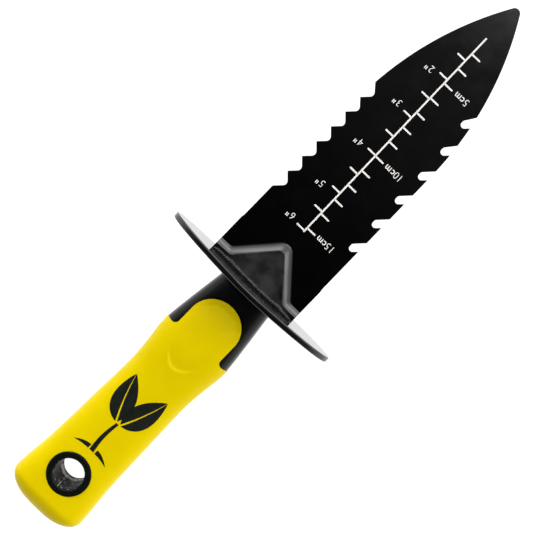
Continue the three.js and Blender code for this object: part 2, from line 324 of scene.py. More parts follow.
# ---- materials ----
def maths(tree, operation, first, second):
    """The result of a calculation on two values of a node tree, or on a value and a number."""
    node = tree.nodes.new("ShaderNodeMath")
    node.operation = operation
    for socket, value in zip(node.inputs, (first, second)):
        if isinstance(value, (int, float)):
            socket.default_value = value
        else:
            tree.links.new(value, socket)
    return node.outputs["Value"]


class Shader:
    """A principled material whose colour, roughness and relief come from noise."""

    def __init__(self, name):
        self.material = bpy.data.materials.new(name)
        self.material.use_nodes = True
        self.nodes = self.material.node_tree.nodes
        self.links = self.material.node_tree.links
        self.surface = self.nodes["Principled BSDF"]
        self.place = self.nodes.new("ShaderNodeTexCoord").outputs["Object"]

    def fix(self, name, value):
        self.surface.inputs[name].default_value = value

    def noise(self, size, detail=3.0):
        """Noise whose features are about `size` millimetres across."""
        texture = self.nodes.new("ShaderNodeTexNoise")
        texture.inputs["Scale"].default_value = 1000 / size
        texture.inputs["Detail"].default_value = detail
        self.links.new(self.place, texture.inputs["Vector"])
        return texture.outputs["Fac"]

    def ramp(self, value, stops):
        """Colours or greys along a value: stops are (position, colour)."""
        node = self.nodes.new("ShaderNodeValToRGB")
        for index, (position, colour) in enumerate(stops):
            if index < 2:
                stop = node.color_ramp.elements[index]
                stop.position = position
            else:
                stop = node.color_ramp.elements.new(position)
            stop.color = (*colour, 1) if isinstance(colour, tuple) else (colour, colour, colour, 1)
        self.links.new(value, node.inputs["Fac"])
        return node.outputs["Color"]

    def colour(self, value, stops):
        self.links.new(self.ramp(value, stops), self.surface.inputs["Base Color"])

    def roughness(self, value, low, high):
        grey = self.ramp(value, ((0.3, low), (0.7, high)))
        self.links.new(grey, self.surface.inputs["Roughness"])

    def attribute(self, name):
        node = self.nodes.new("ShaderNodeAttribute")
        node.attribute_name = name
        return node.outputs["Fac"]

    def math(self, operation, first, second):
        return maths(self.material.node_tree, operation, first, second)

    def relief(self, layers):
        """Bumps laid over each other: layers are (noise, height in millimetres)."""
        normal = None
        for height, depth in layers:
            bump = self.nodes.new("ShaderNodeBump")
            bump.inputs["Strength"].default_value = 1.0
            bump.inputs["Distance"].default_value = depth / 1000
            self.links.new(height, bump.inputs["Height"])
            if normal is not None:
                self.links.new(normal, bump.inputs["Normal"])
            normal = bump.outputs["Normal"]
        self.links.new(normal, self.surface.inputs["Normal"])


def blade_coating():
    """Glossy black lacquer, duller and uneven where the sheet was pressed."""
    shader = Shader("blade_coating")
    pressed = shader.attribute("pressed")
    shader.colour(shader.noise(14), ((0.35, (0.0008, 0.0008, 0.0009)),
                                     (0.7, (0.0014, 0.0014, 0.0015))))
    plain = shader.ramp(shader.noise(9, 4), ((0.3, 0.07), (0.7, 0.12)))
    wear = shader.ramp(pressed, ((0.0, 0.0), (0.1, 0.08), (0.9, 0.06), (1.0, 0.34)))
    patches = shader.ramp(shader.noise(11, 2), ((0.38, 0.55), (0.62, 1.2)))
    dull = shader.math("MULTIPLY", patches, wear)
    shader.links.new(shader.math("ADD", plain, dull), shader.surface.inputs["Roughness"])
    dents = shader.math("MULTIPLY", shader.noise(13, 1.5), pressed)
    shader.relief(((shader.noise(38, 1), 0.04), (dents, 0.9), (shader.noise(1.1, 2), 0.001)))
    shader.fix("IOR", 1.6)
    return shader.material


def guard_coating():
    """The same lacquer on a smooth plate."""
    shader = Shader("guard_coating")
    shader.colour(shader.noise(10), ((0.35, (0.0035, 0.0035, 0.0036)),
                                     (0.7, (0.0055, 0.0055, 0.0056))))
    shader.roughness(shader.noise(7, 4), 0.06, 0.12)
    shader.relief(((shader.noise(16, 2), 0.02), (shader.noise(0.9, 2), 0.0015)))
    shader.fix("IOR", 1.5)
    return shader.material


def weld_coating():
    """The same lacquer over the rough weld."""
    shader = Shader("weld_coating")
    shader.colour(shader.noise(3), ((0.3, (0.001, 0.001, 0.0011)), (0.75, (0.004, 0.004, 0.0044))))
    shader.roughness(shader.noise(1.5, 4), 0.12, 0.3)
    shader.relief(((shader.noise(1.8, 3), 0.12),))
    shader.fix("IOR", 1.4)
    return shader.material


def collar_rubber():
    """Black, smooth, with a soft sheen."""
    shader = Shader("collar_rubber")
    shader.colour(shader.noise(8, 4), ((0.3, (0.0006, 0.0006, 0.0006)),
                                       (0.75, (0.0014, 0.0014, 0.0013))))
    shader.roughness(shader.noise(5, 4), 0.12, 0.18)
    shader.relief(((shader.noise(0.5, 3), 0.004), (shader.noise(12, 2), 0.04)))
    shader.fix("IOR", 1.26)
    return shader.material


def cover_rubber():
    """Yellow and nearly matt."""
    shader = Shader("cover_rubber")
    shader.colour(shader.noise(16, 5), ((0.3, (0.73, 0.552, 0.0)), (0.72, (0.77, 0.592, 0.0))))
    shader.roughness(shader.noise(6, 4), 0.26, 0.36)
    shader.relief(((shader.noise(0.45, 3), 0.006), (shader.noise(14, 2), 0.03)))
    shader.fix("IOR", 1.13)
    return shader.material


def eyelet_plastic():
    """Black plastic, dusty and grained on the wall of the bore, with a painted lit band on the
    bore's ledge and a lighter line along its seam.
    """
    shader = Shader("eyelet_plastic")
    # Noise times bore_wall: dust and grain on the bore's wall, a painted lit band on its ledge
    # (light from the floor below), and a lighter line along its seam.
    dust_and_lit_band = shader.math("MULTIPLY", shader.noise(2.6, 8), shader.attribute("bore_wall"))
    shader.colour(dust_and_lit_band, ((0.0, (0.0042, 0.006, 0.004)), (0.42, (0.003, 0.003, 0.003)),
                         (0.5, (0.008, 0.008, 0.007)), (0.58, (0.04, 0.04, 0.036)),
                         (0.8, (0.6, 0.58, 0.53))))
    shader.roughness(shader.noise(4, 4), 0.2, 0.3)
    shader.relief(((shader.noise(0.4, 2), 0.008),))
    shader.fix("IOR", 1.2)
    shine = shader.ramp(shader.attribute("bore_wall"), ((0.0, 0.5), (1.0, 0.01)))
    shader.links.new(shine, shader.surface.inputs["Specular IOR Level"])
    return shader.material


def scale_ink():
    """White print."""
    shader = Shader("scale_ink")
    shader.colour(shader.noise(1.2, 4), ((0.25, (0.86, 0.82, 0.78)), (0.7, (0.97, 0.93, 0.9))))
    shader.roughness(shader.noise(2, 3), 0.45, 0.6)
    shader.relief(((shader.noise(0.5, 3), 0.01),))
    return shader.material


def mark_ink():
    """Nearly black print."""
    shader = Shader("mark_ink")
    shader.colour(shader.noise(2, 4), ((0.3, (0.004, 0.006, 0.004)), (0.75, (0.009, 0.012, 0.008))))
    shader.roughness(shader.noise(3, 3), 0.35, 0.5)
    shader.relief(((shader.noise(0.5, 3), 0.008),))
    shader.fix("IOR", 1.3)
    return shader.material


def floor_paper():
    """Pale paper that also glows, so that it comes out as white as the photo's ground."""
    shader = Shader("floor_paper")
    shader.colour(shader.noise(60, 3), ((0.3, (0.24, 0.24, 0.24)), (0.7, (0.27, 0.27, 0.27))))
    shader.roughness(shader.noise(30, 3), 0.75, 0.85)
    shader.relief(((shader.noise(2, 3), 0.01),))
    shader.fix("Emission Color", (1, 1, 1, 1))
    shader.fix("Emission Strength", 1.0)
    return shader.material


# ---- blade ----
def blade_half(x):
    """Half the blade's width at x, without its teeth."""
    if x < EDGE_STEP_X:
        return ROOT_HALF
    if x < NOSE_X:
        return BODY_HALF + (NOSE_HALF - BODY_HALF) * (x - EDGE_STEP_X) / (NOSE_X - EDGE_STEP_X)
    return NOSE_HALF - NOSE_RADIUS + math.sqrt(NOSE_RADIUS ** 2 - (x - NOSE_X) ** 2)


def guard_face(y):
    """How far the guard's front stands forward at y: its wings lean towards the blade."""
    reach = abs(y - GUARD_SHIFT) - GUARD_FLAT_HALF
    return GUARD_LEAN * (reach + math.hypot(reach, GUARD_BEND)) / 2


def edge_run(start, end, side):
    """Points of a plain stretch of the blade's edge, without its two ends."""
    return [(x, side * blade_half(x)) for x in steps_between(start, end, EDGE_PITCH)]


def gullet(x):
    """The notch behind the hook's point at x, from the point to the edge beyond it."""
    edge = -blade_half(x)
    middle, level = x + GULLET_OFFSET, edge + GULLET_RISE
    back = arc(middle, level, GULLET_RADIUS, *GULLET_BACK_ANGLES, 12)
    front = arc(middle + GULLET_FLAT, level, GULLET_RADIUS, *GULLET_FRONT_ANGLES, 5)
    point = (back[0][0] + back[0][1] - edge, edge)
    end_x = front[-1][0] + (front[-1][1] - edge) / GULLET_SLOPE
    return [point, *back, *front, (end_x, -blade_half(end_x))]


def hooked_edge():
    """The -Y edge from the root to the tip."""
    body_x = EDGE_STEP_X + EDGE_STEP_HALF
    points = [(guard_face(ROOT_HALF) + CONTACT, -ROOT_HALF),
              (EDGE_STEP_X - EDGE_STEP_HALF, -ROOT_HALF), (body_x, -blade_half(body_x))]
    for index in range(HOOK_COUNT):
        notch = gullet(HOOK_FIRST_X + index * HOOK_PITCH)
        points += edge_run(points[-1][0], notch[0][0], -1) + notch
    return points


def saw_edge():
    """The +Y edge from the tip to the root."""
    corner = SAW_ROUND * math.sin(math.radians(45))
    reach = corner + (SAW_DEPTH - SAW_ROUND + corner) / SAW_SLOPE
    end_x = SAW_FIRST_X + (SAW_COUNT - 1) * SAW_PITCH + reach
    points = [(end_x, blade_half(end_x))]
    for index in reversed(range(SAW_COUNT)):
        x = SAW_FIRST_X + index * SAW_PITCH
        bottom = blade_half(x) - SAW_DEPTH
        points += arc(x, bottom + SAW_ROUND, SAW_ROUND, 315, 225, 8)
        if index:
            crest = (SAW_PITCH / 2 - corner) * SAW_SLOPE
            points.append((x - SAW_PITCH / 2, points[-1][1] + crest))
    points.append((SAW_FIRST_X - reach, blade_half(SAW_FIRST_X - reach)))
    body_x = EDGE_STEP_X + EDGE_STEP_HALF
    points += edge_run(points[-1][0], body_x, 1)
    return [*points, (body_x, blade_half(body_x)), (EDGE_STEP_X - EDGE_STEP_HALF, ROOT_HALF),
            (guard_face(ROOT_HALF) + CONTACT, ROOT_HALF)]


def blade_outline():
    """The blade's plan with its tang, counter-clockwise."""
    tip = arc(TIP_X - COAT - TIP_ROUND, 0, TIP_ROUND, -TIP_TURN, TIP_TURN, 14)
    lower, upper = hooked_edge(), saw_edge()
    nose = edge_run(lower[-1][0], tip[0][0], -1)
    back = edge_run(tip[-1][0], upper[0][0], 1)
    shoulder = guard_face(TANG_ROOT_HALF) + CONTACT
    tang = [(shoulder, TANG_ROOT_HALF), (TANG_END_X, TANG_END_HALF),
            (TANG_END_X, -TANG_END_HALF), (shoulder, -TANG_ROOT_HALF)]
    return lower + nose + tip + back + upper + tang


def soft_start(share, softness):
    """The share where it is above 0, with the corner at 0 rounded."""
    if share <= -softness:
        return 0.0
    if share >= softness:
        return share
    return (share + softness) ** 2 / (4 * softness)


def step_rise(x, y):
    """Height of the pressed strip and triangle above the printed face at (x, y)."""
    strip = (x - STEP_X) / STEP_RAMP
    ahead = x - BOSS_APEX_X + BOSS_APEX_RADIUS / math.sin(BOSS_SLOPE)
    turn = math.atan2(abs(y), ahead) / (math.pi / 2 - BOSS_SLOPE)
    hollow = RAMP_HOLLOW
    if turn < 1:
        boss = (math.hypot(ahead, y) - BOSS_APEX_RADIUS) / BOSS_RAMP
        hollow += (APEX_HOLLOW - RAMP_HOLLOW) * (1 - turn * turn) ** 2
    else:
        flank = ahead * math.sin(BOSS_SLOPE) + abs(y) * math.cos(BOSS_SLOPE)
        boss = (flank - BOSS_APEX_RADIUS) / BOSS_RAMP
    blend = max(0.0, STEP_FILLET - abs(strip - boss)) / STEP_FILLET
    share = min(strip, boss) - blend * blend * STEP_FILLET / 4
    down = min(1.0, soft_start(share, STEP_SOFTNESS + STEP_SIDE_SOFTNESS * y * y))
    return STEP_HEIGHT * (1 - down) ** hollow * (1 - STEP_CROWN * y * y)


def split_grid(work):
    """Cuts the sheet round the raised part into a fine grid, to be shaped."""
    def split(parts, where, direction):
        bmesh.ops.bisect_plane(work, geom=parts, dist=1e-5, plane_co=where, plane_no=direction)

    def cut(where, direction):
        near = [face for face in work.faces if face.calc_center_median().x < STEP_GRID_END]
        parts = {item for face in near for item in (face, *face.edges, *face.verts)}
        split(list(parts), where, direction)

    split(work.faces[:] + work.edges[:] + work.verts[:], (STEP_GRID_END, 0, 0), (1, 0, 0))
    for x in steps_between(0.2, STEP_GRID_END, STEP_GRID):
        cut((x, 0, 0), (1, 0, 0))
    for y in steps_between(-STEP_GRID_HALF, STEP_GRID_HALF, STEP_GRID):
        cut((0, y, 0), (0, 1, 0))


def coated(outline):
    """The outline grown by the coating's thickness, but not towards the guard or on the tang."""
    points = []
    for (x, y), (far_x, far_y) in zip(outline, inset(outline, -COAT)):
        if x < STEP_X:
            far_x = x
            if abs(y) <= TANG_ROOT_HALF:
                far_y = y
        points.append((far_x, far_y))
    return points


def blade_mesh():
    """The sheet with rounded edges and its pressed part. `pressed` is 1 on top of that part."""
    outline = coated(blade_outline())
    corner = RIM_ROUND * (1 - math.sqrt(0.5))
    profile = ((RIM_ROUND, 0), (corner, -corner), (0, -RIM_ROUND), (0, RIM_ROUND - SHEET),
               (corner, corner - SHEET), (RIM_ROUND, -SHEET))
    work = bmesh.new()
    zone = work.faces.layers.int.new("zone")
    rings = []
    for back, level in profile:
        rings.append([work.verts.new((x, y, level)) for x, y in inset(outline, back)])
    top = work.faces.new(rings[0])
    bottom = work.faces.new(list(reversed(rings[-1])))
    top[zone], bottom[zone] = 1, 2
    count = len(outline)
    for upper, lower in zip(rings, rings[1:]):
        for step in range(count):
            after = (step + 1) % count
            work.faces.new((upper[step], lower[step], lower[after], upper[after]))
    split_grid(work)
    pressed = work.verts.layers.float.new("pressed")
    for vertex in work.verts:
        rise = step_rise(vertex.co.x, vertex.co.y)
        vertex.co.z += rise
        vertex[pressed] = min(1.0, rise / STEP_HEIGHT)
    for edge in work.edges:
        zones = {face[zone] for face in edge.link_faces}
        edge.smooth = len(zones) == 1
    mesh = bpy.data.meshes.new("blade")
    work.to_mesh(mesh)
    work.free()
    return mesh


def make_blade(material):
    """Made without place(), which would lose the crisp borders between the sheet's zones."""
    mesh = blade_mesh()
    mesh.transform(TOOL)
    for polygon in mesh.polygons:
        polygon.use_smooth = True
    mark_corners(mesh, 50)
    mesh.materials.append(material)
    blade = bpy.data.objects.new("blade_sheet", mesh)
    bpy.context.scene.collection.objects.link(blade)
    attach(blade, BODY)
    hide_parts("blade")


def mark_corners(mesh, degrees):
    """Makes edges over this angle crisp, and leaves those crisp that already are."""
    work = bmesh.new()
    work.from_mesh(mesh)
    for edge in work.edges:
        if len(edge.link_faces) == 2 and edge.calc_face_angle(0) > math.radians(degrees):
            edge.smooth = False
    work.to_mesh(mesh)
    work.free()


# ---- guard and welds ----
def guard_profile():
    """Half the guard's section as (distance in from the rim, x), from the front to the back."""
    turn = [math.radians(angle) for angle in range(0, 91, 15)]
    front = [(GUARD_RIM_ROUND * (1 - math.sin(a)), GUARD_RIM_ROUND * (math.cos(a) - 1))
             for a in turn]
    return front + [(0, GUARD_REAR_CHAMFER - GUARD_THICKNESS),
                    (GUARD_REAR_CHAMFER, -GUARD_THICKNESS)]


def guard_mesh():
    """Rings from the middle of the front, over the rim, to the middle of the back."""
    rings = []
    angles = [2 * math.pi * step / GUARD_COUNT for step in range(GUARD_COUNT)]

    def ring(half_width, half_height, x):
        points = []
        for angle in angles:
            y = GUARD_SHIFT + half_width * math.cos(angle)
            points.append((x + guard_face(y), y, half_height * math.sin(angle)))
        return points

    for share in GUARD_RING_SHARES:
        rings.append(ring(GUARD_HALF_WIDTH * share, GUARD_HALF_HEIGHT * share, 0))
    for back, x in guard_profile():
        rings.append(ring(GUARD_HALF_WIDTH - back, GUARD_HALF_HEIGHT - back, x))
    for share in reversed(GUARD_RING_SHARES):
        rings.append(ring(GUARD_HALF_WIDTH * share, GUARD_HALF_HEIGHT * share, -GUARD_THICKNESS))
    return rings_mesh("guard", rings)


def make_guard(material):
    half, reach = TANG_ROOT_HALF + SLOT_ROOM, 10
    slot = [(-reach, -half), (reach, -half), (reach, half), (-reach, half)]
    hole = prism("slot", slot, STEP_HEIGHT - SHEET - SLOT_ROOM, STEP_HEIGHT + SLOT_ROOM)
    plate = combine(guard_mesh(), hole, "DIFFERENCE")
    guard = place("oval_guard", plate, material, 35)
    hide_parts("hand_guard")


def weld_mesh(side, seed):
    """A low, uneven bead in the corner between the guard and one face of the blade."""
    surface = STEP_HEIGHT if side > 0 else STEP_HEIGHT - SHEET

    def wander(y, amount, length, row):
        return amount * noise.noise(Vector((y / length, seed, row)))

    rings = []
    for y in [-WELD_HALF, *steps_between(-WELD_HALF, WELD_HALF, WELD_PITCH), WELD_HALF]:
        size = 1 + wander(y, *WELD_SWELL, 0) + wander(y, *WELD_GRAIN, 3)
        size *= 1 - WELD_END_THINNING * abs(y / WELD_HALF) ** 6
        lump = wander(y, *WELD_LUMP, 6)
        corner_x = guard_face(y) - WELD_BURIED
        corner_z = surface - side * (WELD_BURIED + abs(surface) * STEP_CROWN * y * y)
        ring = [(corner_x, y, corner_z)]
        for step in range(WELD_STEPS + 1):
            angle = math.pi / 2 * step / WELD_STEPS
            along = y + WELD_WAVE * math.sin(2 * angle) + wander(y, 1, WELD_DRIFT, 9)
            ridge = 1 - abs(math.sin(math.pi * along / WELD_RIPPLE_PITCH))
            ripple = WELD_RIPPLE * ridge * math.sin(2 * angle)
            wide = WELD_WIDTH * size + ripple + lump * math.cos(angle) + WELD_BURIED
            high = WELD_HEIGHT * size + ripple + lump + WELD_BURIED
            ring.append((corner_x + wide * math.cos(angle) ** (2 / WELD_POWER), y,
                         corner_z + side * high * math.sin(angle) ** (2 / WELD_POWER)))
        rings.append(ring)
    return rings_mesh("weld", rings)


def make_welds(material):
    for name, side, seed in (("weld_bead_top", 1, 2.5), ("weld_bead_underside", -1, 7.5)):
        bead = place(name + "_run", weld_mesh(side, seed), material, 60)
        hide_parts(name)


# ---- handle ----
def handle_centre(x):
    """The y of the handle's middle: the handle is slanted a little against the blade."""
    return HANDLE_SLANT * (x - HANDLE_SLANT_FROM_X)


def dish(x, y):
    """How deep the thumb's hollow is at (x, y): soft at its sides, with a wall at each end."""
    along = (x - DISH_X) / DISH_HALF_LENGTH
    if abs(along) >= 1:
        return 0.0
    across = abs(y - handle_centre(x)) / (DISH_HALF_WIDTH + DISH_WIDENING * along)
    power = DISH_POWER + along / 2
    reach = (abs(along) ** power + across ** power) ** (1 / power)
    if reach >= 1:
        return 0.0
    depth, width = DISH_FRONT if along > 0 else DISH_REAR
    wall = depth * min(1.0, (1 - reach) * DISH_HALF_LENGTH / width)
    crisp = 0.0
    if reach > 0:
        aside, onward = DISH_CRISP_SIDE, DISH_CRISP_ALONG
        crisp = min(1.0, aside[0] * abs(along) / reach) ** aside[1]
        crisp *= min(1.0, onward[0] * abs(along)) ** onward[1]
    return wall * crisp + DISH_DEPTH * (1 - reach ** 2) ** 2 * (1 - crisp)


def handle_ring(x, size_x, shrink, inset_by, count):
    """A cross-section at x, with the sizes that the handle has at size_x."""
    half = spline(HANDLE_WIDTH, size_x) - inset_by
    depth = spline(HANDLE_DEPTH, size_x) - inset_by
    power = spline(HANDLE_POWER, size_x)
    points = []
    for step in range(count):
        angle = 2 * math.pi * (step + 0.5) / count
        across, up = math.cos(angle), math.sin(angle)
        radius = (abs(across / half) ** power + abs(up / depth) ** power) ** (-1 / power) * shrink
        y = handle_centre(x) + radius * across
        z = radius * up
        if up > 0:
            z -= dish(x, y) * min(1.0, z / DISH_FADE)
        points.append((x, y, z))
    return points


def handle_mesh(name, front_x, inset_by=0.0, pitch=SKIN_PITCH, count=SKIN_COUNT):
    """The handle's outer form, made smaller all round by inset_by."""
    rings = []
    for x in [front_x, *steps_between(front_x, HANDLE_ROUND_X, pitch), HANDLE_ROUND_X]:
        rings.append(handle_ring(x, x, 1.0, inset_by, count))
    butt = HANDLE_END_X + inset_by - HANDLE_ROUND_X
    for step in range(1, BUTT_STEPS + 1):
        share = min(BUTT_LAST_SHARE, math.sin(math.pi / 2 * step / BUTT_STEPS))
        shrink = (1 - share ** BUTT_POWER) ** (1 / BUTT_POWER)
        x = HANDLE_ROUND_X + butt * share
        rings.append(handle_ring(x, x, shrink, inset_by, count))
    return rings_mesh(name, rings)


def handle_top(x, y):
    """Height of the handle's printed side at (x, y)."""
    half, depth, power = (spline(table, x) for table in (HANDLE_WIDTH, HANDLE_DEPTH, HANDLE_POWER))
    across = min(1.0, abs(y - handle_centre(x)) / half)
    return depth * (1 - across ** power) ** (1 / power) - dish(x, y)


def cover_plan(grow=0.0):
    """Plan of the cover: wide behind the collar's two legs, with a tongue between them."""
    middle = handle_centre(LEG_TIP_X)
    half = TONGUE_HALF + grow
    leg = LEG_TIP_X + grow
    length = TONGUE_FRONT_X + grow - TONGUE_STRAIGHT_X
    far_x, far_y = HANDLE_END_X - 10, PLAN_HALF
    nose = []
    for step in range(-16, 17):
        angle = math.pi / 2 * step / 16
        nose.append((TONGUE_STRAIGHT_X + length * math.cos(angle), middle + half * math.sin(angle)))
    corner_low = arc(leg + LEG_CORNER, middle - half - LEG_CORNER, LEG_CORNER, 180, 90, 8)
    corner_high = arc(leg + LEG_CORNER, middle + half + LEG_CORNER, LEG_CORNER, 270, 180, 8)
    return [(far_x, -far_y), (leg, -far_y), *corner_low, *nose, *corner_high,
            (leg, far_y), (far_x, far_y)]


def make_handle(core_material, cover_material):
    room_x = LEG_TIP_X - ROOM_START
    bore = cylinder("bore", HOLE_X, HOLE_Y, EYELET_RADIUS + BORE_ROOM, PLAN_HALF, 120)
    inner = handle_mesh("inner", room_x, COVER_WALL + COVER_ROOM, ROOM_PITCH, ROOM_COUNT)
    room = handle_mesh("room", room_x, COVER_WALL, ROOM_PITCH, ROOM_COUNT)
    plan = prism("plan", cover_plan(), -PLAN_HALF, PLAN_HALF)

    cover = combine(handle_mesh("cover", HANDLE_FRONT_X), plan, "INTERSECT")
    cover = combine(cover, room, "DIFFERENCE")
    cover = combine(cover, bore, "DIFFERENCE")
    cover = place("grip_cover_soft", cover, cover_material)
    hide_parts("grip_cover")

    clear_plan = prism("clear_plan", cover_plan(CONTACT), -PLAN_HALF, PLAN_HALF)
    core = combine(handle_mesh("collar", HANDLE_FRONT_X, COLLAR_INSET), clear_plan, "DIFFERENCE")
    core = combine(core, combine(inner, bore, "DIFFERENCE"), "UNION")
    core = place("handle_core_collar", core, core_material)
    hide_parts("handle_core")


def eyelet_mesh():
    """The ring that lines the hanging hole, turned round the hole's axis.

    `bore_wall` is 1 on the wall of the bore, and more on its ledge, where it paints a lit band, and
    on its seam, which it draws lighter.
    """
    mouth = [(HOLE_RADIUS + EYELET_LIP - x, EYELET_HALF - EYELET_LIP + z)
             for x, z in arc(0, 0, EYELET_LIP, 0, 90, 9)]
    upper = mouth + [(EYELET_RADIUS - EYELET_RIM, EYELET_HALF),
                     (EYELET_RADIUS - EYELET_RIM_STEP, EYELET_HALF - EYELET_RIM_STEP),
                     (EYELET_RADIUS, EYELET_HALF - EYELET_RIM)]
    lower = [(radius, -level) for radius, level in reversed(upper)]
    narrow, wide = HOLE_RADIUS + BORE_NARROW, HOLE_RADIUS + BORE_WIDE
    foot = BORE_LEDGE - BORE_LEDGE_HEIGHT
    wall = [(narrow, foot - 1), (narrow, foot), (wide, BORE_LEDGE), (wide, BORE_LEDGE + 1.5),
            (wide, 13.0)]
    outline = upper[1:] + lower[:-1]
    inside = [lower[-1], *wall, upper[0]]
    rings = []
    for step in range(EYELET_COUNT):
        angle = 2 * math.pi * step / EYELET_COUNT
        seam = BORE_SEAM if step == EYELET_COUNT // 2 else 0.0
        loop = outline + [(radius - seam, level) for radius, level in inside]
        rings.append([(HOLE_X + radius * math.cos(angle), HOLE_Y + radius * math.sin(angle), level)
                      for radius, level in loop])
    rings.append(rings[0])
    mesh = rings_mesh("eyelet", rings, closed_ends=False)
    work = bmesh.new()
    work.from_mesh(mesh)
    bmesh.ops.remove_doubles(work, verts=work.verts, dist=1e-4)
    bore_wall = work.verts.layers.float.new("bore_wall")
    for vertex in work.verts:
        reach = math.hypot(vertex.co.x - HOLE_X, vertex.co.y - HOLE_Y)
        if reach < wide + 0.05:
            on_seam = vertex.co.x < HOLE_X and abs(vertex.co.y - HOLE_Y) < 0.01
            on_ledge = foot - 0.5 < vertex.co.z < BORE_LEDGE + 1
            # The extra on the ledge paints a lit band in the colour; the extra on the seam draws it
            # lighter.
            vertex[bore_wall] = 1.0 + BORE_LIGHTENING * (on_seam + on_ledge)
    work.to_mesh(mesh)
    work.free()
    outward(mesh)
    return mesh


def make_eyelet(material):
    eyelet = place("hang_hole_ring", eyelet_mesh(), material, 60)
    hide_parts("hang_hole_eyelet")


# ---- printed scale ----
INK_LIFT = 0.04  # height of the print above the face
LINE_START = (38.8, -0.25)
LINE_END = (171.6, 1.4)
LINE_WIDTH = 0.9
CM_FIRST_X, CM_PITCH, CM_COUNT, CM_LENGTH = 41.25, 10.0, 13, 4.8
INCH_FIRST_X, INCH_PITCH, INCH_COUNT, INCH_LENGTH = 39.3, 13.04, 10, 4.6
DIGIT_HEIGHT = 3.7
LETTER_HEIGHT = 2.4
GLYPH_SQUEEZE = 0.92
FONT_SIZE = 10
DIGIT_WEIGHT = -0.04  # how much the font's strokes are thickened
LETTER_WEIGHT = 0.03
INCH_LABELS = (("6", 40.3, 9.4), ("5", 62.5, 9.9), ("4", 90.8, 10.4), ("3", 118.5, 10.3),
               ("2", 141.8, 10.5))  # figure, x, y
INCH_MARK_OFFSET = (-1.1, 2.7)  # from the figure to the middle of its two strokes
INCH_MARK_HALF_GAP = 0.45
INCH_MARK_HALF_LENGTH = 0.7
INCH_MARK_WIDTH = 0.5
CM_LABELS = ((("1", -16.9), ("5", -14.2), ("c", -11.9), ("m", -8.9), 41.7),
             (("1", -16.5), ("0", -14.0), ("c", -11.7), ("m", -8.5), 91.5),
             (("5", -13.8), ("c", -11.3), ("m", -8.3), 141.8))


def line_y(x):
    """The y of the scale's long line at x."""
    share = (x - LINE_START[0]) / (LINE_END[0] - LINE_START[0])
    return LINE_START[1] + share * (LINE_END[1] - LINE_START[1])


class Sheet:
    """Collects flat patches of ink into one mesh."""

    def __init__(self):
        self.points = []
        self.faces = []

    def add(self, points, faces):
        start = len(self.points)
        self.points += [tuple(point) for point in points]
        self.faces += [tuple(start + index for index in face) for face in faces]

    def bar(self, start, end, width):
        """A straight stroke of ink on the blade's face, with round ends."""
        turn = math.degrees(math.atan2(end[1] - start[1], end[0] - start[0]))
        outline = arc(*end, width / 2, turn - 90, turn + 90, 8)
        outline += arc(*start, width / 2, turn + 90, turn + 270, 8)
        self.add([(x, y, INK_LIFT) for x, y in outline], [tuple(range(len(outline)))])

    def mesh(self, name):
        mesh = bpy.data.meshes.new(name)
        mesh.from_pydata(self.points, [], self.faces)
        return mesh


def make_scale_lines(material):
    sheet = Sheet()
    sheet.bar(LINE_START, LINE_END, LINE_WIDTH)
    half = LINE_WIDTH / 2
    for index in range(CM_COUNT):
        x = CM_FIRST_X + index * CM_PITCH
        y = line_y(x) - half
        sheet.bar((x, y), (x, y - CM_LENGTH), LINE_WIDTH)
    for index in range(INCH_COUNT):
        x = INCH_FIRST_X + index * INCH_PITCH
        y = line_y(x) + half
        sheet.bar((x, y), (x, y + INCH_LENGTH), LINE_WIDTH)
    place("scale_lines", sheet.mesh("scale_lines"), material)


def glyph(character, height, weight):
    """A character's flat mesh as (points, faces), centred, with its top towards -X."""
    curve = bpy.data.curves.new("glyph", "FONT")
    curve.body = character
    curve.size = FONT_SIZE
    curve.offset = weight * FONT_SIZE / height
    writer = bpy.data.objects.new("glyph", curve)
    bpy.context.scene.collection.objects.link(writer)
    graph = bpy.context.evaluated_depsgraph_get()
    mesh = bpy.data.meshes.new_from_object(writer.evaluated_get(graph))
    bpy.data.objects.remove(writer)
    flat = np.array([vertex.co[:2] for vertex in mesh.vertices])
    middle = (flat.min(axis=0) + flat.max(axis=0)) / 2
    scale = height / (flat.max(axis=0) - flat.min(axis=0))[1]
    flat = (flat - middle) * scale
    points = [(-up, across * GLYPH_SQUEEZE) for across, up in flat]
    return points, [tuple(polygon.vertices) for polygon in mesh.polygons]


def make_scale_figures(material):
    sheet = Sheet()

    def write(character, x, y):
        digit = character.isdigit()
        points, faces = glyph(character, DIGIT_HEIGHT if digit else LETTER_HEIGHT,
                              DIGIT_WEIGHT if digit else LETTER_WEIGHT)
        sheet.add([(x + px, y + py, INK_LIFT) for px, py in points], faces)

    for figure, x, y in INCH_LABELS:
        write(figure, x, y)
        mark_x = x + INCH_MARK_OFFSET[0]
        for shift in (-INCH_MARK_HALF_GAP, INCH_MARK_HALF_GAP):
            mark_y = y + INCH_MARK_OFFSET[1] + shift
            sheet.bar((mark_x - INCH_MARK_HALF_LENGTH, mark_y),
                      (mark_x + INCH_MARK_HALF_LENGTH, mark_y), INCH_MARK_WIDTH)
    for *characters, x in CM_LABELS:
        for character, y in characters:
            write(character, x, y)
    place("scale_figures", sheet.mesh("scale_figures"), material)


# ---- pictogram on the cover ----
MARK_LIFT = 0.07  # height of the print above the cover
MARK_CENTRE_X = -93.5
STEM_LENGTH = 19.0
STEM_GAP = 2.0  # between the top of the stem and the leaves' place
STEM_HALF = 1.1
STEM_BOW = 0.9
LEAF_START = (-1.6, 1.5)  # from the mark's place, with y on the leaf's own side
LEAF_LENGTH = 26.0
LEAF_HALF = 6.4
LEAF_TURN = math.radians(27.6)
LEAF_BEND = 3.0
LEAF_VEIN = 0.5  # half the width of the blank vein at the stem
SOIL_START = 2.2  # distance of the soil strokes from the stem's middle
SOIL_LENGTH = 8.6
SOIL_HALF = 1.2
SOIL_GAP = 0.9
SOIL_DROP = 2.6


